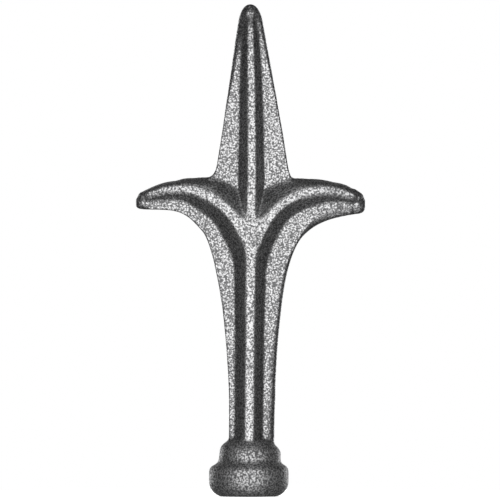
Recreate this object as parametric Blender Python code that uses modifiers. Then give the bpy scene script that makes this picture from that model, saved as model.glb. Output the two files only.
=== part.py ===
"""Cast iron fence spear point.

One casting: a turned foot and collar, a flat stem that flares into two side
arms, and a straight tapering blade above them. A rounded ridge runs up the
middle of the stem, splits along both arms and goes on up the blade, alike on
the front and on the back.

Metres, +Z up. The origin is the middle of the flat underside of the foot,
+X points along the right arm and the front faces -Y.
"""

import math

import bmesh
import bpy
from mathutils import Vector

MM = 0.001

# Overall sizes
HEIGHT = 160.5 * MM
ARM_SPAN = 75.0 * MM
PLATE_THICKNESS = 5.4 * MM
PLATE_EDGE_ROUND = 0.9 * MM
CREST_DEPTH = 15.0 * MM

# Foot: the bulb that stands on the picket
FOOT_DIAMETER = 26.1 * MM
FOOT_HEIGHT = 10.5 * MM
SEAT_DIAMETER = 18.4 * MM
FOOT_LIP_DIAMETER = 22.2 * MM

# Collar between the foot and the stem
COLLAR_DIAMETER = 20.2 * MM
COLLAR_STRAIGHT = 3.8 * MM
SHOULDER_HEIGHT = 4.3 * MM

# Stem: straight above the collar, then flaring into the arms
STEM_WIDTH = 14.9 * MM
STEM_STRAIGHT = 5.4 * MM

# Arms: the crown is the highest part of an arm's ridge, measured at its centre line
CROWN_HEIGHT = 99.5 * MM
CROWN_REACH = 21.5 * MM
ARM_DROOP = 3.1 * MM
ARM_TIP_FLANGE = 3.3 * MM
ARMPIT_DROP = 13.1 * MM
ARMPIT_REACH = 17.4 * MM

# Blade, whose root is its widest part
BLADE_ROOT_RISE = 7.5 * MM
BLADE_ROOT_WIDTH = 23.3 * MM
BLADE_NOTCH_FLARE = 1.5 * MM
BLADE_TIP_RADIUS = 3.6 * MM

# Widths of the rounded ridge where it leaves the flat of the plate
STEM_RIDGE_WIDTH = 8.8 * MM
FORK_RIDGE_WIDTH = 10.6 * MM
CROWN_RIDGE_WIDTH = 7.6 * MM
ARM_TIP_RIDGE_WIDTH = 3.5 * MM
BLADE_RIDGE_WIDTH = 8.6 * MM
BLADE_TIP_RIDGE_WIDTH = 4.4 * MM
BLADE_RIDGE_SETBACK = 2.6 * MM

# How far below the crowns the ridge forks, and how far beside the middle each branch starts
FORK_DROP = 26.5 * MM
FORK_SPREAD = 0.5 * MM

# How deep the stem and its ridge reach down into the foot
STEM_ROOT = 5.0 * MM
RIDGE_ROOT = 3.0 * MM

# Fineness
CURVE_STEPS = 16
CORNER_STEPS = 7
TURN_STEPS = 56
RIDGE_BEVEL_RESOLUTION = 6
EDGE_BEVEL_RESOLUTION = 2
WELD_DISTANCE = 0.00001
SLIVER_WIDTH = 0.000005

IRON_COLOUR = (0.20, 0.20, 0.205, 1.0)
IRON_ROUGHNESS = 0.45
IRON_METALLIC = 0.85


def heading(degrees):
    """Unit vector in the plate's plane, turned from +X towards up."""
    angle = math.radians(degrees)
    return Vector((math.cos(angle), math.sin(angle)))


def sweep(start, start_heading, start_pull, end, end_heading, end_pull, steps):
    """Points of one cubic curve that leaves start and reaches end along two headings."""
    start = Vector(start)
    end = Vector(end)
    first = start + heading(start_heading) * start_pull
    second = end - heading(end_heading) * end_pull
    points = []
    for step in range(steps + 1):
        t = step / steps
        s = 1.0 - t
        points.append(start * s**3 + first * (3 * s * s * t) + second * (3 * s * t * t) + end * t**3)
    return points


def arc(centre, radius, start_degrees, end_degrees, steps):
    """Points along a circular arc."""
    centre = Vector(centre)
    span = end_degrees - start_degrees
    return [centre + heading(start_degrees + span * step / steps) * radius for step in range(steps + 1)]


def joined(*runs):
    """Runs of points end to end, each shared end point kept once."""
    points = []
    for run in runs:
        for point in run:
            if not points or (point - points[-1]).length > 2 * WELD_DISTANCE:
                points.append(point)
    return points


def collar_top():
    return FOOT_HEIGHT + COLLAR_STRAIGHT + SHOULDER_HEIGHT


def flare_height():
    return collar_top() + STEM_STRAIGHT


def fork_height():
    return CROWN_HEIGHT - FORK_DROP


def arm_tip_height():
    return CROWN_HEIGHT - ARM_DROOP


def underside_height():
    return arm_tip_height() - ARM_TIP_FLANGE


def blade_root_height():
    return CROWN_HEIGHT + BLADE_ROOT_RISE


def arm_reach():
    return ARM_SPAN / 2


def underside_run():
    """The outline's lower edge: up the stem, out of the armpit and along under the arm."""
    armpit = (ARMPIT_REACH, CROWN_HEIGHT - ARMPIT_DROP)
    reach = arm_reach() - ARMPIT_REACH
    rise = armpit[1] - flare_height()
    flare = sweep(
        (STEM_WIDTH / 2, flare_height()), 90, 0.205 * rise, armpit, 46, 0.21 * rise, CURVE_STEPS
    )
    under_arm = sweep(
        armpit, 46, 0.115 * reach,
        (arm_reach() - 0.15 * reach, underside_height()), 5, 0.62 * reach,
        CURVE_STEPS,
    )
    return joined(flare, under_arm)


def ridge_reach():
    """Where the arm's ridge ends, so that its round end reaches the arm's tip."""
    return arm_reach() - ridge_radius(ARM_TIP_RIDGE_WIDTH)


def fork_run():
    """Centre line of the ridge from the fork to the arm's crown, its highest part."""
    return sweep(
        (FORK_SPREAD, fork_height()), 86, 0.84 * FORK_DROP,
        (CROWN_REACH, CROWN_HEIGHT), 0, 0.12 * CROWN_REACH,
        CURVE_STEPS,
    )


def droop_run():
    """Centre line of the ridge from the arm's crown down to its tip."""
    reach = ridge_reach() - CROWN_REACH
    return sweep(
        (CROWN_REACH, CROWN_HEIGHT), 0, 0.38 * reach,
        (ridge_reach(), arm_tip_height()), -27, 0.38 * reach,
        CURVE_STEPS // 2,
    )


def blade_run():
    """The outline's blade: from inside the arm, out through the notch and up to the tip."""
    root_edge = BLADE_ROOT_WIDTH / 2
    tip_centre = Vector((0.0, HEIGHT - BLADE_TIP_RADIUS))
    root = Vector((root_edge, blade_root_height()))
    to_centre = tip_centre - root
    lean = math.degrees(math.atan2(to_centre.y, to_centre.x))
    lean -= math.degrees(math.asin(BLADE_TIP_RADIUS / to_centre.length))
    notch = Vector((root_edge + BLADE_NOTCH_FLARE, CROWN_HEIGHT + CROWN_RIDGE_WIDTH / 2))
    flare = sweep(
        notch, 135, 0.3 * BLADE_NOTCH_FLARE, root, lean, 2 * BLADE_NOTCH_FLARE, CORNER_STEPS // 2
    )
    tip = arc(tip_centre, BLADE_TIP_RADIUS, lean - 90, 90, CORNER_STEPS)
    return joined(flare, tip)


def mirrored(points):
    """The same run on the left."""
    return [Vector((-point.x, point.y)) for point in points]


def plate_outline():
    """The plate's whole outline: the right half upwards, then the left half downwards."""
    stem_foot = Vector((STEM_WIDTH / 2, FOOT_HEIGHT - STEM_ROOT))
    under = underside_run()
    tip_end = Vector((ridge_reach(), arm_tip_height()))
    tip_radius = ridge_radius(ARM_TIP_RIDGE_WIDTH)
    corner_end = tip_end + Vector((0.6 * tip_radius, -0.3 * tip_radius))
    pull = 0.5 * (corner_end.x - under[-1].x)
    lower_corner = sweep(under[-1], 5, pull, corner_end, 105, pull, CORNER_STEPS)
    along_arm = list(reversed(droop_run()[:-1]))
    right = joined([stem_foot], under, lower_corner, [tip_end], along_arm, blade_run())
    return joined(right, mirrored(reversed(right)))


def ridge_steepness():
    """How much deeper than wide the ridge's oval section is, from its depth at the stem."""
    crest = CREST_DEPTH / 2
    flat = PLATE_THICKNESS / 2
    return math.sqrt(crest**2 - flat**2) / (STEM_RIDGE_WIDTH / 2)


def ridge_radius(width):
    """Half breadth of the oval whose breadth at the flat of the plate is the given width."""
    sunk = PLATE_THICKNESS / 2 / ridge_steepness()
    return math.hypot(width / 2, sunk)


def eased(values_at, share):
    """Value at a share from 0 to 1 along stations (share, value), eased between them."""
    for (low, low_value), (high, high_value) in zip(values_at, values_at[1:]):
        if share <= high:
            t = (share - low) / (high - low)
            t = t * t * (3 - 2 * t)
            return low_value + (high_value - low_value) * t
    return values_at[-1][1]


def run_lengths(points):
    """Distance of each point from the first, measured along the run."""
    lengths = [0.0]
    for here, there in zip(points, points[1:]):
        lengths.append(lengths[-1] + (there - here).length)
    return lengths


def with_round_end(points, radii):
    """The run carried on past its last point as a half ball of the last radius."""
    along = (points[-1] - points[-2]).normalized()
    radius = radii[-1]
    points = list(points)
    radii = list(radii)
    end = points[-1]
    for step in range(1, CORNER_STEPS):
        angle = math.radians(90 * step / CORNER_STEPS)
        points.append(end + along * radius * math.sin(angle))
        radii.append(radius * math.cos(angle))
    points.append(end + along * radius)
    radii.append(radius * 0.08)
    return points, radii


def stem_ridge():
    """Centre line and radii of the ridge from the foot up to inside the fork."""
    bottom = FOOT_HEIGHT - RIDGE_ROOT
    top = fork_height() + 0.2 * FORK_DROP
    widening = FORK_RIDGE_WIDTH - STEM_RIDGE_WIDTH
    points = []
    radii = []
    for step in range(CORNER_STEPS + 1):
        share = step / CORNER_STEPS
        points.append(Vector((0.0, bottom + (top - bottom) * share)))
        radii.append(ridge_radius(STEM_RIDGE_WIDTH + widening * share**3))
    return with_round_end(points, radii)


def arm_ridge():
    """Centre line and radii of the right branch, out of the stem's ridge and along the arm."""
    fork = fork_run()
    points = joined(fork, droop_run())
    lengths = run_lengths(points)
    whole = lengths[-1]
    crown = lengths[len(fork) - 1] / whole
    stations = [
        (0.0, 0.8 * STEM_RIDGE_WIDTH),
        (0.22 * crown, FORK_RIDGE_WIDTH),
        (0.72 * crown, FORK_RIDGE_WIDTH),
        (crown, CROWN_RIDGE_WIDTH),
        (1.0, ARM_TIP_RIDGE_WIDTH),
    ]
    radii = [ridge_radius(eased(stations, length / whole)) for length in lengths]
    return with_round_end(points, radii)


def blade_ridge():
    """Centre line and radii of the ridge from inside the fork up to the blade's tip."""
    start = CROWN_HEIGHT - FORK_DROP / 2
    end = HEIGHT - BLADE_RIDGE_SETBACK - ridge_radius(BLADE_TIP_RIDGE_WIDTH)
    points = [Vector((0.0, start)), Vector((0.0, blade_root_height())), Vector((0.0, end))]
    radii = [ridge_radius(width) for width in (BLADE_RIDGE_WIDTH, BLADE_RIDGE_WIDTH, BLADE_TIP_RIDGE_WIDTH)]
    return with_round_end(points, radii)


def foot_profile():
    """Radius and height down the foot and collar, from the axis at the top to the axis below."""
    collar = COLLAR_DIAMETER / 2
    bulb = FOOT_DIAMETER / 2
    seat = SEAT_DIAMETER / 2
    lip = FOOT_LIP_DIAMETER / 2
    top = collar_top()
    shoulder_foot = FOOT_HEIGHT + COLLAR_STRAIGHT
    shoulder_in = STEM_WIDTH / 2 - PLATE_EDGE_ROUND / 2
    belly_low = 0.48 * FOOT_HEIGHT
    belly_high = 0.8 * FOOT_HEIGHT
    crown = [Vector((0.0, top + PLATE_EDGE_ROUND / 2))]
    shoulder = sweep(
        (shoulder_in, top), -40, 0.42 * SHOULDER_HEIGHT,
        (collar, shoulder_foot), -90, 0.42 * SHOULDER_HEIGHT,
        CORNER_STEPS,
    )
    cove = sweep(
        (collar, FOOT_HEIGHT + 0.4 * COLLAR_STRAIGHT), -90, 0.2 * COLLAR_STRAIGHT,
        (lip, FOOT_HEIGHT), -20, 0.5 * (lip - collar),
        CORNER_STEPS // 2,
    )
    round_top = sweep(
        (lip, FOOT_HEIGHT), -8, 0.7 * (bulb - lip),
        (bulb, belly_high), -90, 0.6 * (FOOT_HEIGHT - belly_high),
        CORNER_STEPS // 2,
    )
    round_under = sweep(
        (bulb, belly_low), -90, 0.62 * belly_low,
        (seat, 0.0), -170, 0.25 * (bulb - seat),
        CORNER_STEPS,
    )
    return joined(crown, shoulder, cove, round_top, round_under, [Vector((0.0, 0.0))])


def iron_material():
    material = bpy.data.materials.new("cast_iron")
    material.use_nodes = True
    shader = material.node_tree.nodes["Principled BSDF"]
    shader.inputs["Base Color"].default_value = IRON_COLOUR
    shader.inputs["Roughness"].default_value = IRON_ROUGHNESS
    shader.inputs["Metallic"].default_value = IRON_METALLIC
    return material


def new_collection(name):
    collection = bpy.data.collections.new(name)
    bpy.context.scene.collection.children.link(collection)
    return collection


def solid_from_curve(curve_object, collection):
    """Closed mesh object in place of a curve object, its caps welded to its sides."""
    bpy.context.view_layer.update()
    graph = bpy.context.evaluated_depsgraph_get()
    mesh = bpy.data.meshes.new_from_object(curve_object.evaluated_get(graph))
    work = bmesh.new()
    work.from_mesh(mesh)
    bmesh.ops.remove_doubles(work, verts=work.verts, dist=WELD_DISTANCE)
    bmesh.ops.recalc_face_normals(work, faces=work.faces)
    work.to_mesh(mesh)
    work.free()
    mesh.shade_smooth()
    mesh.set_sharp_from_angle(angle=math.radians(35))
    name = curve_object.name
    curve = curve_object.data
    solid = bpy.data.objects.new(name + "_solid", mesh)
    solid.matrix_world = curve_object.matrix_world
    bpy.data.objects.remove(curve_object)
    bpy.data.curves.remove(curve)
    collection.objects.link(solid)
    solid.name = name
    return solid


def curve_through(name, points, collection, closed):
    """Straight-sided curve through points of the plate's plane, stood upright."""
    curve = bpy.data.curves.new(name, "CURVE")
    spline = curve.splines.new("POLY")
    spline.points.add(len(points) - 1)
    for spot, point in zip(spline.points, points):
        spot.co = (point.x, point.y, 0.0, 1.0)
    spline.use_cyclic_u = closed
    curve_object = bpy.data.objects.new(name, curve)
    curve_object.rotation_euler = (math.radians(90), 0.0, 0.0)
    collection.objects.link(curve_object)
    return curve_object


def make_plate(name, collection):
    """The flat of the stem, arms and blade, its edges rounded."""
    plate = curve_through(name, plate_outline(), collection, closed=True)
    plate.data.dimensions = "2D"
    plate.data.fill_mode = "BOTH"
    plate.data.extrude = PLATE_THICKNESS / 2 - PLATE_EDGE_ROUND
    plate.data.bevel_depth = PLATE_EDGE_ROUND
    plate.data.bevel_resolution = EDGE_BEVEL_RESOLUTION
    plate.data.offset = -PLATE_EDGE_ROUND
    return solid_from_curve(plate, collection)


def make_ridge(name, run, collection):
    """A ridge for both faces at once: an oval bar along a run, deeper than it is wide."""
    points, radii = run
    ridge = curve_through(name, points, collection, closed=False)
    ridge.data.dimensions = "3D"
    ridge.data.bevel_depth = 1.0
    ridge.data.bevel_resolution = RIDGE_BEVEL_RESOLUTION
    ridge.data.use_fill_caps = True
    sides = 4 + 2 * RIDGE_BEVEL_RESOLUTION
    for spot, radius in zip(ridge.data.splines[0].points, radii):
        spot.radius = radius
        spot.tilt = math.pi / sides
    ridge.scale = (1.0, 1.0, ridge_steepness())
    return solid_from_curve(ridge, collection)


def make_foot(name, collection):
    """The foot and collar, turned about the upright axis."""
    profile = foot_profile()
    mesh = bpy.data.meshes.new(name)
    corners = [(point.x, 0.0, point.y) for point in profile]
    edges = [(index, index + 1) for index in range(len(corners) - 1)]
    mesh.from_pydata(corners, edges, [])
    foot = bpy.data.objects.new(name, mesh)
    collection.objects.link(foot)
    turn = foot.modifiers.new("turn", "SCREW")
    turn.axis = "Z"
    turn.steps = TURN_STEPS
    turn.render_steps = TURN_STEPS
    turn.use_merge_vertices = True
    turn.merge_threshold = WELD_DISTANCE
    turn.use_smooth_shade = True
    return foot


def as_guide(shape):
    """Keep a shape as part of another one, out of sight."""
    shape.hide_render = True
    shape.display_type = "WIRE"


def unite(base, shape):
    """Grow the base by another shape.

    The exact solver drops the plate where a branch lies almost against the
    stem's ridge, so the unions use the one that always gives a closed body.
    """
    union = base.modifiers.new("with_" + shape.name, "BOOLEAN")
    union.operation = "UNION"
    union.solver = "MANIFOLD"
    union.object = shape
    as_guide(shape)


def weld_slivers(base):
    """Close the hairline edges that the unions leave where surfaces meet on the middle plane."""
    weld = base.modifiers.new("no_slivers", "WELD")
    weld.merge_threshold = SLIVER_WIDTH


def build_spear_point():
    castings = new_collection("fence_spear_point")
    shapes = new_collection("fence_spear_point_shapes")
    spear = make_plate("spear_point", castings)
    spear.data.materials.append(iron_material())
    right_points, right_radii = arm_ridge()
    ridges = {
        "stem_ridge": stem_ridge(),
        "right_arm_ridge": (right_points, right_radii),
        "left_arm_ridge": (mirrored(right_points), right_radii),
        "blade_ridge": blade_ridge(),
    }
    unite(spear, make_foot("foot_and_collar", shapes))
    for name, run in ridges.items():
        unite(spear, make_ridge(name, run, shapes))
    weld_slivers(spear)


def main():
    for leftover in list(bpy.data.objects):
        bpy.data.objects.remove(leftover)
    build_spear_point()


if __name__ == "__main__":
    main()
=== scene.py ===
"""Looks of a cast iron fence spear point.

The whole ornament is one casting whose foot, collar, stem, arms and blade run
into each other through soft fillets, so its skin is worked out as one shape:
the sheet on which a distance, worked out on a regular block of points, is
zero. Each form is a few named curves, and forms are joined with a rounded
least value, which leaves the fillet that a pour leaves. Shapes are worked out
in millimetres and put into metres when they become a mesh.
"""

import math

import bpy
import numpy as np
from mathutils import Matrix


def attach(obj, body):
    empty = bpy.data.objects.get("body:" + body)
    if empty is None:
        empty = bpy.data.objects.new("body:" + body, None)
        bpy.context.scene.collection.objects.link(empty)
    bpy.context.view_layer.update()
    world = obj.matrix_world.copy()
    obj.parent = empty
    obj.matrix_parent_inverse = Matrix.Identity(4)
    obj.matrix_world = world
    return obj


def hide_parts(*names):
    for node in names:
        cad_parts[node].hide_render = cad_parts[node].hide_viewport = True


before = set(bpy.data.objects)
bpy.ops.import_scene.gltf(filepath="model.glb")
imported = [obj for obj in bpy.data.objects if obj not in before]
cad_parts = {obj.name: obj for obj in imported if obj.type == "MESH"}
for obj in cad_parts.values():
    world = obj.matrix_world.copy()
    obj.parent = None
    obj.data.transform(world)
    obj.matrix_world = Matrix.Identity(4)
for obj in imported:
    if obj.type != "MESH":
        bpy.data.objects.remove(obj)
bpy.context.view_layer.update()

bl_info = {
    "name": "Fence spear point",
    "version": (1, 0, 0),
    "blender": (4, 5, 0),
    "location": "3D View > Sidebar > Spear point",
    "description": "Casts a fence spear point in grainy iron and sets it on a pale stage",
    "category": "Object",
}

MM = 0.001

# The size that the curves below are drawn at, in millimetres
DRAWN_HEIGHT = 160.5
DRAWN_SPAN = 75.0

# Places and widths in the tables and curves below come from the photograph:
# small measuring scripts printed where its edges and shades change, and the
# values were rounded and then moved by hand against renders. Depths, which the
# photograph doesn't show, are guesses.

# How the middle line wanders sideways up the casting: height, offset
WANDER = (
    (0.0, -0.48), (9.0, -0.48), (13.0, -0.15), (19.0, 0.42), (31.0, 0.6), (62.0, 0.62),
    (74.0, 0.42), (82.0, 0.4), (104.0, 0.5), (118.0, 0.58), (132.0, 0.42), (148.0, 0.14), (161.0, 0.0),
)

# How far the ridges lie beside the middle of the plate: height, offset
RIDGE_OFFSET = (
    (0.0, -0.65), (20.0, -0.65), (31.0, -0.72), (41.0, -0.62), (52.0, -0.52), (64.0, -0.42), (71.0, -0.22),
    (78.0, -0.05), (95.0, -0.05), (104.0, 0.15), (112.0, 0.02), (124.0, 0.08), (161.0, 0.05),
)

# Foot and collar: height and radius of the turned profile, from the seat up
FOOT_TURNING = (
    (0.0, 9.2), (0.25, 10.0), (0.7, 10.8), (1.5, 11.7), (2.6, 12.45), (3.8, 12.9), (5.2, 13.04),
    (8.0, 13.04), (9.0, 12.86), (9.8, 12.3), (10.3, 11.5), (10.75, 10.75), (11.5, 10.25), (12.5, 10.1),
    (14.4, 10.05), (15.1, 9.9), (15.7, 9.65), (16.4, 9.15), (17.0, 8.5), (17.7, 7.6), (18.3, 6.6),
    (19.0, 4.4), (19.7, 0.0),
)

# Middle lines of the two upright ridges: from, to
STEM_RUN = ((0.0, 6.0), (0.0, 84.0))
BLADE_RUN = ((0.0, 86.0), (0.0, 157.2))

# Ridges. Each entry is the distance along the middle line, then the value
# there: CREST is how far the crest stands out from the middle plane, CREASE
# how far beside the middle line the ridge meets the flat, and ROUNDNESS how
# broad and round the crest is.
STEM_CREASE = ((0.0, 4.75), (20.0, 4.75), (50.0, 4.8), (70.0, 5.25), (80.0, 5.7))
STEM_CREST = ((0.0, 7.3), (60.0, 7.5), (80.0, 7.8))
STEM_ROUNDNESS = ((0.0, 0.47), (80.0, 0.47))
BLADE_CREASE = ((0.0, 4.55), (20.0, 4.25), (50.0, 3.6), (64.0, 2.8), (71.0, 1.6))
BLADE_CREST = ((0.0, 7.9), (20.0, 7.3), (50.0, 6.2), (62.0, 5.4), (67.0, 4.6), (71.0, 3.3))
BLADE_ROUNDNESS = ((0.0, 0.55), (71.0, 0.55))
ARM_CREST = (
    (0.0, 6.8), (5.0, 7.5), (12.0, 8.0), (24.0, 7.9), (37.0, 6.7), (46.0, 5.2), (50.5, 4.2), (52.0, 3.3),
)
ARM_ROUNDNESS = (
    (0.0, 0.3), (24.0, 0.36), (31.0, 0.45), (36.0, 0.58), (43.0, 0.75), (50.0, 0.8), (52.0, 0.5),
)
ARM_BACK_ROUNDNESS = (
    (0.0, 0.16), (20.0, 0.16), (26.0, 0.24), (31.0, 0.4), (36.0, 0.58), (43.0, 0.75),
    (50.0, 0.8), (52.0, 0.5),
)

# Near its tip an arm's ridge also falls to the middle plane below its crest,
# at this distance; further in, the distance is so large that it has no say
ARM_UNDER = ((0.0, 90.0), (42.0, 60.0), (46.0, 9.0), (49.0, 4.0), (52.0, 2.1))

# The two arms differ a little, 1 on the right and -1 on the left: CREASE is
# from the crest to the crease below it, and BACK from the crest to the arm's
# upper edge
ARM_CREASE = {
    1: (
        (0.0, 4.6), (8.0, 4.8), (15.0, 4.85), (23.0, 4.65), (29.0, 5.0), (35.0, 4.85),
        (40.0, 4.15), (43.0, 3.95), (47.0, 3.2), (50.5, 2.3), (52.0, 1.7),
    ),
    -1: (
        (0.0, 5.0), (8.0, 6.2), (15.0, 6.4), (24.0, 5.55), (30.0, 5.3), (35.0, 4.5),
        (40.0, 3.9), (43.0, 3.7), (47.0, 3.1), (50.5, 2.5), (52.0, 1.9),
    ),
}
ARM_BACK = {
    1: (
        (0.0, 90.0), (8.0, 60.0), (13.0, 19.0), (18.0, 11.0), (24.0, 9.0), (29.0, 6.5), (32.0, 5.3),
        (35.0, 4.1), (40.0, 3.1), (43.0, 2.5), (47.0, 2.5), (50.4, 2.1), (52.0, 1.7),
    ),
    -1: (
        (0.0, 90.0), (8.0, 60.0), (13.0, 19.0), (18.0, 11.0), (24.0, 8.8), (29.0, 7.4), (32.0, 5.5),
        (35.6, 3.75), (40.5, 2.4), (43.7, 2.2), (47.0, 1.9), (50.6, 1.6), (52.0, 1.4),
    ),
}

NOSE = 1.5  # rounding of an edge where the front and the back face meet
RIGHT_SQUEEZE = 1.17  # the upright ridges are this much narrower on the right
ARM_ROOT = 14.0  # within this of the middle the arms shift with the stem
PAST_CREASE = 1.5  # slope of a ridge that goes on falling beyond its crease
PAST_MIDDLE = 1.2  # slope of an arm's ridge beyond the middle line
BODY_START = 6.5  # height, inside the foot, from which stem and plate run
SHOULDER_FILLET = 0.9  # where the stem runs into the collar
COLLAR_TILT = 0.08  # how far the collar's shoulder leans sideways
STEEPEST_RIDGE = 4.0  # slopes past these count as these, so that a distance
STEEPEST_TURNING = 3.0  # stays one where the surface stands nearly upright

# The rim is rounded over by the rim's own size and these lengths more, each
# in its own part of the outline
RIM_MORE = {
    "stem": 0.9, "right armpit": 1.6, "arm tips": 1.8,
    "blade tip": 2.3, "blade tip right": -0.9, "blade left": 0.5,
}
# Its rounding is this share flatter than a quarter circle, down to the least
RIM_FLATTER = {"under right arm": 0.55, "stem": 0.16, "arm tips": 0.3, "right tip": 0.2}
RIM_LEAST = 0.4
RIM_MOST = 0.95  # of half the plate's thickness

# The cast skin's dips: sine waves, how many and how long
DIP_WAVES = 30
DIP_LENGTHS = (5.0, 20.0)
DIP_SEED = 7

# The block of points reaches this far from the middle plane, and by these
# numbers of cells past the casting on its low and high sides
BLOCK_DEPTH = 13.1
BLOCK_LOW_CELLS = (1.9, 1.7, 1.7)
BLOCK_HIGH_CELLS = 2.0

# The photograph's frame at the casting: its middle, and 500 pixels of 0.3259 mm
PICTURE_MIDDLE = (-0.0001, 0.0, 0.0803)
PICTURE_WIDTH = 500 * 0.3259 * MM
SENSOR_WIDTH = 36.0

# The surroundings look white to the camera and grey to what the iron mirrors
SEEN_WHITE = (1.0, 1.0, 1.0, 1.0)
MIRRORED_GREY = (0.078, 0.078, 0.078, 1.0)
BACK_LIGHT_SHARE = 0.2  # of the front light's power


class CastingSizes(bpy.types.PropertyGroup):
    height: bpy.props.FloatProperty(
        name="Height", description="From the seat to the tip of the blade",
        default=DRAWN_HEIGHT * MM, unit="LENGTH",
    )
    span: bpy.props.FloatProperty(
        name="Span", description="Across both arms", default=DRAWN_SPAN * MM, unit="LENGTH",
    )
    plate: bpy.props.FloatProperty(
        name="Plate thickness", description="Thickness of the flat of stem, arms and blade",
        default=5.4 * MM, unit="LENGTH",
    )
    rim: bpy.props.FloatProperty(
        name="Rim rounding", description="How far the plate's edge is rounded over",
        default=0.6 * MM, unit="LENGTH",
    )
    crease: bpy.props.FloatProperty(
        name="Crease fillet", description="Fillet where a ridge meets the flat",
        default=1.0 * MM, unit="LENGTH",
    )
    fork: bpy.props.FloatProperty(
        name="Fork fillet", description="Fillet where the ridges run together at the fork",
        default=1.4 * MM, unit="LENGTH",
    )
    unevenness: bpy.props.FloatProperty(
        name="Unevenness", description="How deep the cast skin dips below the drawn shape",
        default=0.1 * MM, unit="LENGTH",
    )
    cell: bpy.props.FloatProperty(
        name="Cell", description="Spacing of the points that the skin is worked out on",
        default=0.4 * MM, unit="LENGTH",
    )


class IronFinish(bpy.types.PropertyGroup):
    dark: bpy.props.FloatVectorProperty(
        name="Dark grain", description="Colour of the pits between the grains",
        subtype="COLOR", size=3, min=0.0, max=1.0, default=(0.16, 0.16, 0.163),
    )
    light: bpy.props.FloatVectorProperty(
        name="Light grain", description="Colour of the blasted tops of the grains",
        subtype="COLOR", size=3, min=0.0, max=1.0, default=(0.7, 0.7, 0.705),
    )
    grain: bpy.props.FloatProperty(
        name="Grain size", description="Width of one grain", default=0.55 * MM, unit="LENGTH",
    )
    relief: bpy.props.FloatProperty(
        name="Grain relief", description="Height of the grain", default=0.088 * MM, unit="LENGTH",
    )


class StageSetting(bpy.types.PropertyGroup):
    floor: bpy.props.FloatProperty(
        name="Floor radius", description="Radius of the round floor", default=0.12, unit="LENGTH",
    )
    distance: bpy.props.FloatProperty(
        name="Camera distance", description="From the casting to the camera", default=4.0, unit="LENGTH",
    )
    front_light: bpy.props.FloatProperty(
        name="Front light", description="Power of the light beside the camera, in watts", default=19.0,
    )
    top_light: bpy.props.FloatProperty(
        name="Top light", description="Power of the light overhead, in watts", default=0.5,
    )
    side_light: bpy.props.FloatProperty(
        name="Side lights", description="Power of each light beside and behind, in watts", default=3.6,
    )
    low_light: bpy.props.FloatProperty(
        name="Low light", description="Power of the light in front and below, in watts", default=0.75,
    )


# Curves and tables


def sweep(start, start_heading, start_pull, end, end_heading, end_pull, steps):
    """Cubic curve from one point and heading to another, headings in degrees.

    start (1-t)^3 + 3 first (1-t)^2 t + 3 second (1-t) t^2 + end t^3, where
    first and second lie off the ends by the two pulls.
    """
    start = np.array(start, float)
    end = np.array(end, float)
    leave = np.radians(start_heading)
    reach = np.radians(end_heading)
    first = start + start_pull * np.array([np.cos(leave), np.sin(leave)])
    second = end - end_pull * np.array([np.cos(reach), np.sin(reach)])
    t = np.linspace(0.0, 1.0, steps + 1)[:, None]
    s = 1.0 - t
    return start * s**3 + first * (3 * s * s * t) + second * (3 * s * t * t) + end * t**3


def joined(*runs):
    """Runs end to end, without a point that repeats the one before it."""
    points = np.vstack(runs)
    step = np.hypot(*np.diff(points, axis=0).T)
    return points[np.concatenate([[True], step > 1e-3])]


def read(table, at):
    """The table's value at a place along it, straight between its entries."""
    places, values = np.array(table).T
    return np.interp(at, places, values)


def arm_crest_run(side):
    """Middle line of an arm's ridge: out of the stem, over the arm's crown and down towards its tip.

    side is 1 on the right and -1 on the left, and both are drawn towards the right.
    A random search against heights of the crest measured on the photograph gave
    these curves, which were then rounded and adjusted.
    """
    if side > 0:
        rise = sweep((0.0, 75.0), 80, 19.0, (24.1, 100.05), 0, 10.5, 28)
        droop = sweep((24.1, 100.05), 0, 5.5, (34.6, 97.4), -17, 5.5, 12)
    else:
        rise = sweep((0.0, 74.0), 90, 18.2, (22.9, 100.6), 0, 7.0, 28)
        droop = sweep((22.9, 100.6), 0, 6.0, (35.5, 97.85), -21, 5.0, 12)
    return joined(rise, droop)


def lower_edge_run(side):
    """The outline's lower edge on one side: up the stem, along under the arm and round its tip.

    A least squares search against measured points of the outline gave the pulls
    of both flares, which are only rounded, and a start for those under the arms.
    """
    foot = np.array([[7.4, 6.0]])
    if side > 0:
        flare = sweep((7.5, 24.0), 90, 22.1, (17.15, 85.2), 44, 10.8, 24)
        under = sweep((17.15, 85.2), 44, 5.9, (34.2, 91.85), 7, 8.2, 16)
        tip = sweep((34.2, 91.85), 7, 2.3, (37.15, 95.2), 91, 2.3, 8)
        crown = sweep((37.15, 95.2), 91, 2.2, (33.4, 100.1), 151, 2.2, 8)
    else:
        flare = sweep((7.5, 24.0), 90, 28.7, (16.0, 86.25), 50, 6.7, 24)
        under = sweep((16.0, 86.25), 50, 9.9, (34.5, 93.45), 1, 10.0, 16)
        tip = sweep((34.5, 93.45), 1, 2.9, (37.9, 95.6), 92, 1.6, 8)
        crown = sweep((37.9, 95.6), 92, 1.4, (35.9, 98.8), 140, 1.7, 8)
    return joined(foot, flare, under, tip, crown)


def blade_edge_run(side):
    """The outline's blade on one side: out of the notch above the arm, straight up and round the tip."""
    notch = (15.3, 102.4) if side < 0 else (14.6, 101.9)
    root = (11.6 if side < 0 else 11.85, 107.5)
    flare = sweep(notch, 140, 2.0, root, 99.2, 2.4, 6)
    straight = sweep(root, 99.2, 10.0, (4.15, 154.2), 99.2, 10.0, 10)
    tip = sweep((4.15, 154.2), 99.2, 2.6, (0.0, 160.45), 180, 2.5, 10)
    return joined(flare, straight, tip)


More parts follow.
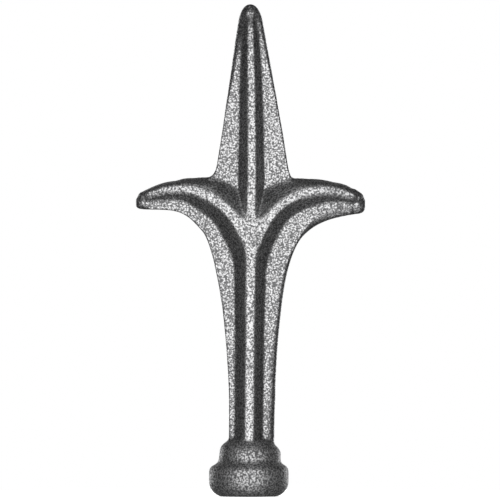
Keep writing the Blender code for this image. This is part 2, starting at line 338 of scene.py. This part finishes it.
def plate_outline():
    """The plate's whole outline: the right side upwards, then the left side downwards.

    Between an arm's tip and the notch it follows the ridge's middle line back,
    out of sight inside the ridge.
    """
    followed = 22
    sides = []
    for side in (1, -1):
        back = arm_crest_run(side)[::-1][:followed]
        run = joined(lower_edge_run(side), back, blade_edge_run(side))
        sides.append(run * (side, 1.0))
    return joined(sides[0], sides[1][::-1])


# Distances


def ramp(value, start, end):
    """0 up to the start, 1 from the end on, and straight between them: (v - start) / (end - start)."""
    return np.clip((value - start) / (end - start), 0.0, 1.0)


def beside_run(run, across, up):
    """Each point's distance from a run, its place along the run, and its side, positive on the left.

    Each straight piece from a to b gives the share t = (p - a).(b - a) / |b - a|^2,
    held between 0 and 1, and the nearest piece wins.
    """
    start = run[:-1].astype(np.float32)
    step = np.diff(run, axis=0).astype(np.float32)
    length = np.hypot(*step.T)
    dx = across[None] - start[:, 0, None, None]
    dz = up[None] - start[:, 1, None, None]
    sx = step[:, 0, None, None]
    sz = step[:, 1, None, None]
    share = np.clip((dx * sx + dz * sz) / (length**2)[:, None, None], 0.0, 1.0)
    gap = (dx - share * sx) ** 2 + (dz - share * sz) ** 2
    nearest = gap.argmin(axis=0)[None]
    pick = lambda values: np.take_along_axis(values, nearest, axis=0)[0]
    before = np.concatenate([[0.0], np.cumsum(length)[:-1]]).astype(np.float32)
    along = before[nearest[0]] + pick(share) * length[nearest[0]]
    return np.sqrt(pick(gap)), along, pick(sx * dz - sz * dx)


def inside_outline(outline, across, up):
    """True where a line to the right crosses the closed outline an odd number of times."""
    x0, z0 = outline.T[:, :, None, None]
    x1, z1 = np.roll(outline, -1, axis=0).T[:, :, None, None]
    spans = (z0 > up) != (z1 > up)
    rise = np.where(np.abs(z1 - z0) < 1e-9, 1e-9, z1 - z0)
    return (spans & (across < x0 + (up - z0) / rise * (x1 - x0))).sum(axis=0) % 2 == 1


def blend_union(a, b, fillet):
    """The lesser distance, lowered by (r - |a - b|)^2 / 4r where they are closer than the fillet r."""
    return np.minimum(a, b) - np.maximum(fillet - np.abs(a - b), 0.0) ** 2 / (4.0 * fillet)


def rounded_depth(depth):
    """Depth from the middle plane, sqrt(y^2 + n^2) - n, so that faces meet there in a round nose."""
    return np.sqrt(depth**2 + NOSE**2) - NOSE


def roof(across, foot, crest_round):
    """Fall of a ridge, 0 at its crest and 1 at its foot, with a broad round top and straight flanks.

    ((u^4 + e^4)^1/4 - e) / ((1 + e^4)^1/4 - e), where u is the share of the way
    to the foot and e the roundness.
    """
    u = across / foot
    return ((u**4 + crest_round**4) ** 0.25 - crest_round) / ((1.0 + crest_round**4) ** 0.25 - crest_round)


def ridge_height(run, across, up, flat, crest_table, crease_table, roundness, back_table=None):
    """Rounded depth of a ridge over the plane.

    It falls from the crest to the flat at its crease, and goes on falling beyond.
    An arm's ridge also falls to the middle plane on its back and, near its tip,
    below.
    """
    gap, along, side = beside_run(run, across, up)
    along = along * (crest_table[-1][0] / np.hypot(*np.diff(run, axis=0).T).sum())
    crest = rounded_depth(read(crest_table, along))
    level = rounded_depth(flat)
    crest_round = read(roundness, along)
    foot = read(crease_table, along)
    fall = (crest - level) * roof(gap, foot, crest_round)
    height = crest - fall - PAST_CREASE * np.maximum(gap - foot, 0.0)
    if back_table is not None:
        back = crest * (1.0 - roof(gap, read(back_table, along), read(ARM_BACK_ROUNDNESS, along)))
        under = crest * (1.0 - roof(gap, read(ARM_UNDER, along), crest_round))
        height = np.where(side > 0, back, np.minimum(height, under))
    return height


def steepness(height, cell):
    """sqrt(1 + slope^2) of a height over the plane, which turns a drop in height into a distance."""
    slope_x, slope_z = np.gradient(height, cell)
    return np.sqrt(1.0 + np.minimum(slope_x**2 + slope_z**2, STEEPEST_RIDGE**2))


def dips(across, depth, up):
    """Sum of sine waves in seeded directions, nearly all of it between -1 and 1.

    Three times the sum's spread is 1.
    """
    dice = np.random.default_rng(DIP_SEED)
    total = np.zeros(np.broadcast(across, depth, up).shape, np.float32)
    for _ in range(DIP_WAVES):
        way = dice.normal(size=3)
        way *= 2 * math.pi / dice.uniform(*DIP_LENGTHS) / np.linalg.norm(way)
        phase = across * way[0] + depth * way[1] + up * way[2] + dice.uniform(0, 2 * math.pi)
        total += np.sin(phase).astype(np.float32)
    return total / math.sqrt(DIP_WAVES / 2) / 3.0


def arm_height(side, branch, up, flat):
    """Height of one arm's ridge, which falls away beyond the middle line."""
    height = ridge_height(
        arm_crest_run(side), np.maximum(side * branch, 0.0), up, flat,
        ARM_CREST, ARM_CREASE[side], ARM_ROUNDNESS, ARM_BACK[side],
    )
    return height - PAST_MIDDLE * np.maximum(-side * branch, 0.0)


def ridges_height(across, up, flat, fork):
    """Height of all the ridges together: the greatest of them, filleted where they run together."""
    offset = read(RIDGE_OFFSET, up).astype(np.float32)
    beside = across - offset
    beside = np.where(beside > 0.0, RIGHT_SQUEEZE * beside, beside)
    branch = across - offset * (1.0 - ramp(np.abs(across), 0.0, ARM_ROOT))
    stem = ridge_height(np.array(STEM_RUN), beside, up, flat, STEM_CREST, STEM_CREASE, STEM_ROUNDNESS)
    blade = ridge_height(np.array(BLADE_RUN), beside, up, flat, BLADE_CREST, BLADE_CREASE, BLADE_ROUNDNESS)
    right_arm, left_arm = (arm_height(side, branch, up, flat) for side in (1, -1))
    height = -blend_union(-right_arm, -left_arm, fork)
    height = -blend_union(-height, -stem, fork)
    return -blend_union(-height, -blade, fork)


def rim_rounding(across, up, flat, rim):
    """How far the plate's rim is rounded over at each point, and how much flatter than a circle.

    Each part of the outline is 1 where it holds and 0 elsewhere, with its bounds in drawn millimetres.
    """
    right = ramp(across, 0.0, 4.0)
    armpit = ramp(across, 14.0, 19.0) * ramp(up, 78.0, 86.0)
    under_arm = ramp(up, 99.0, 96.0)
    stem = right * (ramp(up, 84.0, 72.0) + 0.9 * ramp(up, 60.0, 20.0))
    blade_tip = ramp(up, 118.0, 158.0) ** 1.5
    blade_left = ramp(up, 124.0, 136.0) * ramp(across, 0.0, -2.0)
    arm_tips = ramp(np.abs(across), 32.5, 36.0)

    flatter = 1.0 - RIM_FLATTER["under right arm"] * ramp(across, 19.0, 25.0) * under_arm
    flatter = flatter - RIM_FLATTER["stem"] * stem
    flatter = flatter - (RIM_FLATTER["arm tips"] + RIM_FLATTER["right tip"] * right) * arm_tips
    flatter = np.maximum(flatter, RIM_LEAST)

    over = rim * (0.5 + 0.5 * right) + RIM_MORE["stem"] * stem
    over = over + RIM_MORE["right armpit"] * armpit * under_arm
    over = over + RIM_MORE["arm tips"] * arm_tips
    over = over + (RIM_MORE["blade tip"] + RIM_MORE["blade tip right"] * right) * blade_tip
    over = over + RIM_MORE["blade left"] * blade_left
    return np.minimum(over, RIM_MOST * flat), flatter


def plate_field(across, up, depth, flat, rim):
    """Distance from the plate.

    It is the hypot of the distances past its outline and past its flat, less the
    rim's rounding.
    """
    outline = plate_outline()
    closed = np.vstack([outline, outline[:1]])
    edge = beside_run(closed, across, up)[0]
    edge = np.where(inside_outline(outline, across, up), -edge, edge)
    rounding, flatter = rim_rounding(across, up, flat, rim)
    rounding = rounding[:, None, :]
    past_outline = np.where(edge < 0.0, edge * flatter, edge)[:, None, :] + rounding
    past_flat = depth - flat + rounding
    plate = np.hypot(np.maximum(past_outline, 0.0), np.maximum(past_flat, 0.0)) - rounding
    plate += np.minimum(np.maximum(past_outline, past_flat), 0.0)
    return plate


def foot_field(across, up, depth, cell):
    """Distance from the turned foot and collar.

    It is how far a point lies past the profile's radius, over the profile's
    steepness.
    """
    tilted = up + COLLAR_TILT * across * ramp(up, 12.5, 15.0)
    radius = read(FOOT_TURNING, tilted).astype(np.float32)
    slope = np.gradient(radius, cell, axis=1)
    middle = np.hypot(across[:, None, :], depth)
    steep = np.sqrt(1.0 + np.minimum(slope**2, STEEPEST_TURNING**2))
    turned = (middle - radius[:, None, :]) / steep[:, None, :]
    return np.maximum(turned, (tilted - FOOT_TURNING[-1][0])[:, None, :])


def casting_field(sizes, axes):
    """Distance of every point of the block from the casting's skin, negative inside, in millimetres."""
    to_mm = 1.0 / MM
    cell = sizes.cell * to_mm
    flat = sizes.plate * to_mm / 2
    x, y, z = axes
    up = (z * DRAWN_HEIGHT / (sizes.height * to_mm))[None, :].astype(np.float32)
    across = (x * DRAWN_SPAN / (sizes.span * to_mm))[:, None].astype(np.float32)
    across = across - read(WANDER, up).astype(np.float32)
    up = np.broadcast_to(up, across.shape)
    depth = np.abs(y).astype(np.float32)[None, :, None]

    height = ridges_height(across, up, flat, sizes.fork * to_mm)
    ridges = (rounded_depth(depth) - height[:, None, :]) / steepness(height, cell)[:, None, :]
    plate = plate_field(across, up, depth, flat, sizes.rim * to_mm)
    body = blend_union(plate, ridges, sizes.crease * to_mm)
    del plate, ridges
    body = np.maximum(body, (BODY_START - up[0])[None, None, :])
    whole = blend_union(body, foot_field(across, up, depth, cell), SHOULDER_FILLET)
    del body
    sunk = 0.5 + 0.5 * dips(x[:, None, None], y[None, :, None], z[None, None, :])
    whole = whole + sizes.unevenness * to_mm * sunk
    return np.maximum(whole, -z[None, None, :].astype(np.float32))


def skin(field, origin, cell):
    """Vertices and quads of the sheet on which a field on a regular block of points is zero.

    An edge of the block whose ends differ in sign is crossed at the share
    f0 / (f0 - f1). A cell's vertex is the mean of the crossings on its edges, and
    each crossed edge gives one quad through the four cells round it, turned by
    the sign so that it faces outwards.
    """
    shape = tuple(n - 1 for n in field.shape)
    inside = field < 0.0
    total = np.zeros((3, shape[0] * shape[1] * shape[2]))
    count = np.zeros(total.shape[1])
    quads = []
    for axis in range(3):
        low = [slice(None)] * 3
        high = [slice(None)] * 3
        low[axis] = slice(0, -1)
        high[axis] = slice(1, None)
        low = tuple(low)
        high = tuple(high)
        place = np.array(np.nonzero(inside[low] != inside[high]))
        first = field[low][tuple(place)]
        second = field[high][tuple(place)]
        crossing = place.astype(float)
        crossing[axis] += first / (first - second)
        corners = []
        for back_u, back_v in ((1, 1), (0, 1), (0, 0), (1, 0)):
            cell_at = place.copy()
            cell_at[(axis + 1) % 3] -= back_u
            cell_at[(axis + 2) % 3] -= back_v
            flat_index = np.ravel_multi_index(tuple(cell_at), shape)
            corners.append(flat_index)
            count += np.bincount(flat_index, minlength=len(count))
            for part in range(3):
                total[part] += np.bincount(flat_index, weights=crossing[part], minlength=len(count))
        ring = np.stack(corners, axis=1)
        quads.append(np.where((first < 0.0)[:, None], ring, ring[:, ::-1]))
    used = np.nonzero(count)[0]
    vertices = (total[:, used] / count[used]).T * cell + origin
    number = np.full(len(count), -1)
    number[used] = np.arange(len(used))
    return vertices, number[np.vstack(quads)]


def mesh_object(name, vertices, quads):
    """Object at the origin whose mesh is the given vertices, in metres, and quads, shaded smooth."""
    mesh = bpy.data.meshes.new(name)
    mesh.vertices.add(len(vertices))
    mesh.vertices.foreach_set("co", vertices.astype(np.float32).ravel())
    mesh.loops.add(quads.size)
    mesh.loops.foreach_set("vertex_index", quads.astype(np.int32).ravel())
    mesh.polygons.add(len(quads))
    mesh.polygons.foreach_set("loop_start", np.arange(0, quads.size, 4, dtype=np.int32))
    mesh.polygons.foreach_set("use_smooth", np.ones(len(quads), bool))
    mesh.update(calc_edges=True)
    if mesh.validate():
        raise RuntimeError(name + ": its faces were not sound")
    piece = bpy.data.objects.new(name, mesh)
    bpy.context.scene.collection.objects.link(piece)
    return piece


# Materials


class Value:
    """A socket that can be added, subtracted, multiplied and raised like a number."""

    def __init__(self, tree, socket):
        self.tree = tree
        self.socket = socket

    def _maths(self, operation, *operands):
        return self.tree.node("ShaderNodeMath", {"operation": operation}, dict(enumerate(operands)))

    def __add__(self, other):
        return self._maths("ADD", self, other)

    def __radd__(self, other):
        return self._maths("ADD", other, self)

    def __sub__(self, other):
        return self._maths("SUBTRACT", self, other)

    def __rsub__(self, other):
        return self._maths("SUBTRACT", other, self)

    def __mul__(self, other):
        return self._maths("MULTIPLY", self, other)

    def __rmul__(self, other):
        return self._maths("MULTIPLY", other, self)

    def __pow__(self, other):
        return self._maths("POWER", self, other)

    def held(self):
        """The value kept between 0 and 1."""
        return self.tree.node("ShaderNodeClamp", {}, {"Value": self})


class NodeTree:
    """The nodes of a material or of the surroundings, made one call at a time."""

    def __init__(self, owner):
        owner.use_nodes = True
        self.nodes = owner.node_tree.nodes
        self.links = owner.node_tree.links
        self.nodes.clear()

    def node(self, kind, settings=None, inputs=None, output=0):
        """Makes a node with its settings, fills its sockets, and gives one of its outputs."""
        made = self.nodes.new(kind)
        for name, value in (settings or {}).items():
            setattr(made, name, value)
        for name, value in (inputs or {}).items():
            if isinstance(value, Value):
                self.links.new(value.socket, made.inputs[name])
            else:
                made.inputs[name].default_value = value
        return Value(self, made.outputs[output]) if len(made.outputs) else None


def cast_iron(finish):
    """Shot-blasted grey iron: light grain tops over dark pits, with the grain raised by a bump.

    The ridges' crests get a painted highlight, a little lighter colour, and the foot
    is a little rougher and gets painted light, a little lighter colour.
    """
    broad_scale = 160.0
    crest_from = 5.2 * MM
    crest_fade = 700.0
    highlight_above = 18.0 * MM
    foot_below = 17.0 * MM
    height_fade = 500.0

    material = bpy.data.materials.new("cast_iron_blasted")
    tree = NodeTree(material)
    place = tree.node("ShaderNodeTexCoord", output="Object")
    size = 1.0 / finish.grain
    grain = tree.node(
        "ShaderNodeTexNoise", {}, {"Vector": place, "Scale": size, "Detail": 2.0, "Roughness": 0.6}
    )
    pits = tree.node(
        "ShaderNodeTexVoronoi", {"feature": "F1"}, {"Vector": place, "Scale": 0.9 * size, "Randomness": 1.0}
    )
    broad = tree.node("ShaderNodeTexNoise", {}, {"Vector": place, "Scale": broad_scale, "Detail": 2.0})
    raised = grain * 0.65 + (1.0 - pits) * 0.35
    depth = tree.node("ShaderNodeSeparateXYZ", {}, {"Vector": place}, output="Y")
    height = tree.node("ShaderNodeSeparateXYZ", {}, {"Vector": place}, output="Z")
    deep = tree.node("ShaderNodeMath", {"operation": "ABSOLUTE"}, {0: depth})
    # Painted highlight: where the crests stand out furthest, above the foot, their colour is made lighter
    painted_crest_highlight = ((deep - crest_from) * crest_fade).held() * ((height - highlight_above) * height_fade).held()
    # Painted light on the foot: low is 1 on the foot, whose colour it makes lighter; the same mask also
    # makes the foot rougher
    low = (1.0 - (height - foot_below) * height_fade).held()
    contrast = (raised - 0.415) * 5.3
    # Lightness: grain and random tone, plus the painted highlight on the crests and painted light on the
    # foot
    lightness = (contrast + (broad - 0.5) * 0.25 + painted_crest_highlight * 0.2 + low * 0.08).held() ** 1.4
    colour = tree.node(
        "ShaderNodeMix", {"data_type": "RGBA"},
        {"Factor": lightness, 6: (*finish.dark, 1.0), 7: (*finish.light, 1.0)}, output=2,
    )
    roughness = 0.5 - 0.14 * lightness + 0.13 * low
    bump = tree.node("ShaderNodeBump", {}, {"Strength": 1.0, "Distance": finish.relief, "Height": raised})
    shader = tree.node(
        "ShaderNodeBsdfPrincipled", {},
        {"Base Color": colour, "Metallic": 1.0, "Roughness": roughness, "Normal": bump},
    )
    tree.node("ShaderNodeOutputMaterial", {}, {"Surface": shader})
    return material


def pale_floor():
    """Matt near-white, a little lit of itself so that the seat leaves no dark ring."""
    material = bpy.data.materials.new("pale_floor")
    tree = NodeTree(material)
    shader = tree.node(
        "ShaderNodeBsdfPrincipled", {},
        {"Base Color": (0.97, 0.97, 0.97, 1.0), "Roughness": 0.9,
         "Emission Color": (1.0, 1.0, 1.0, 1.0), "Emission Strength": 0.6},
    )
    tree.node("ShaderNodeOutputMaterial", {}, {"Surface": shader})
    return material


def pale_surroundings():
    """White where the camera sees it, and grey where the iron mirrors it."""
    world = bpy.data.worlds.new("surroundings")
    tree = NodeTree(world)
    seen = tree.node("ShaderNodeBackground", {}, {"Color": SEEN_WHITE})
    mirrored = tree.node("ShaderNodeBackground", {}, {"Color": MIRRORED_GREY})
    glossy = tree.node("ShaderNodeLightPath", output="Is Glossy Ray")
    chosen = tree.node("ShaderNodeMixShader", {}, {"Fac": glossy, 1: seen, 2: mirrored})
    tree.node("ShaderNodeOutputWorld", {}, {"Surface": chosen})
    return world


# Operators


class SPEARPOINT_OT_casting(bpy.types.Operator):
    """Casts the whole spear point as one skin and gives it its iron finish"""

    bl_idname = "spearpoint.casting"
    bl_label = "Cast the spear point"

    def execute(self, context):
        sizes = context.scene.spear_sizes
        cell = sizes.cell / MM
        low = np.array([-sizes.span / MM / 2, -BLOCK_DEPTH, 0.0]) - BLOCK_LOW_CELLS * np.array(cell)
        high = np.array([sizes.span / MM / 2, BLOCK_DEPTH, sizes.height / MM]) + BLOCK_HIGH_CELLS * cell
        axes = [np.arange(a, b, cell) for a, b in zip(low, high)]
        field = casting_field(sizes, axes)
        vertices, quads = skin(field, low, cell)
        if not len(quads):
            raise RuntimeError("the casting came out empty")
        piece = mesh_object("spear_point_casting", vertices * MM, quads)
        piece.data.materials.append(cast_iron(context.scene.spear_finish))
        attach(piece, "root")
        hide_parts("spear_point")
        return {"FINISHED"}


def soft_light(name, power, width, tall, at):
    """Area light at a place, turned to shine at the picture's middle."""
    data = bpy.data.lights.new(name, "AREA")
    data.energy = power
    data.shape = "RECTANGLE"
    data.size = width
    data.size_y = tall
    lamp = bpy.data.objects.new(name, data)
    away = np.array(at, float) - np.array(PICTURE_MIDDLE, float)
    flat = math.hypot(away[0], away[1])
    lamp.location = at
    lamp.rotation_euler = (math.atan2(flat, away[2]), 0.0, math.atan2(away[0], -away[1]))
    bpy.context.scene.collection.objects.link(lamp)


class SPEARPOINT_OT_stage(bpy.types.Operator):
    """Sets the floor, the soft lights, the pale surroundings and the camera"""

    bl_idname = "spearpoint.stage"
    bl_label = "Set the stage"

    def execute(self, context):
        scene = context.scene
        setting = scene.spear_stage

        turn = np.linspace(0.0, 2 * math.pi, 97)[:-1]
        ring = np.stack([np.cos(turn), np.sin(turn), 0 * turn], axis=1) * setting.floor
        mesh = bpy.data.meshes.new("floor")
        mesh.from_pydata(ring.tolist(), [], [list(range(len(ring)))])
        floor = bpy.data.objects.new("floor", mesh)
        scene.collection.objects.link(floor)
        mesh.materials.append(pale_floor())
        floor.visible_glossy = False
        floor.visible_shadow = False
        scene.world = pale_surroundings()

        # Name, power, width, height and place of each light
        soft_light("front_light", setting.front_light, 2.4, 1.6, (0.0, -1.5, 0.12))
        soft_light("top_light", setting.top_light, 0.6, 0.6, (0.0, -0.2, 1.0))
        for side in (-1, 1):
            soft_light("side_light", setting.side_light, 0.7, 0.8, (1.05 * side, 1.45, 0.1))
        soft_light("back_light", BACK_LIGHT_SHARE * setting.front_light, 1.6, 1.2, (0.0, 1.6, 0.12))
        soft_light("low_light", setting.low_light, 0.5, 0.5, (0.0, -0.45, -0.6))

        data = bpy.data.cameras.new("camera")
        data.sensor_width = SENSOR_WIDTH
        data.lens = SENSOR_WIDTH * setting.distance / PICTURE_WIDTH
        data.clip_end = 50.0
        camera = bpy.data.objects.new("camera", data)
        camera.location = (PICTURE_MIDDLE[0], -setting.distance, PICTURE_MIDDLE[2])
        camera.rotation_euler = (math.radians(90), 0.0, 0.0)
        scene.collection.objects.link(camera)
        scene.camera = camera
        scene.view_settings.view_transform = "Standard"
        return {"FINISHED"}


class SPEARPOINT_PT_panel(bpy.types.Panel):
    """Lists the sizes and the steps"""

    bl_label = "Spear point"
    bl_idname = "SPEARPOINT_PT_panel"
    bl_space_type = "VIEW_3D"
    bl_region_type = "UI"
    bl_category = "Spear point"

    def draw(self, context):
        layout = self.layout
        for title, group in (
            ("Casting", context.scene.spear_sizes),
            ("Iron", context.scene.spear_finish),
            ("Stage", context.scene.spear_stage),
        ):
            box = layout.box()
            box.label(text=title)
            for name in type(group).__annotations__:
                box.prop(group, name)
        layout.operator(SPEARPOINT_OT_casting.bl_idname)
        layout.operator(SPEARPOINT_OT_stage.bl_idname)


CLASSES = (
    CastingSizes, IronFinish, StageSetting,
    SPEARPOINT_OT_casting, SPEARPOINT_OT_stage, SPEARPOINT_PT_panel,
)


def register():
    for kind in CLASSES:
        bpy.utils.register_class(kind)
    bpy.types.Scene.spear_sizes = bpy.props.PointerProperty(type=CastingSizes)
    bpy.types.Scene.spear_finish = bpy.props.PointerProperty(type=IronFinish)
    bpy.types.Scene.spear_stage = bpy.props.PointerProperty(type=StageSetting)


def unregister():
    del bpy.types.Scene.spear_stage
    del bpy.types.Scene.spear_finish
    del bpy.types.Scene.spear_sizes
    for kind in reversed(CLASSES):
        bpy.utils.unregister_class(kind)


def main():
    register()
    bpy.ops.spearpoint.casting()
    bpy.ops.spearpoint.stage()


if __name__ == "__main__":
    main()
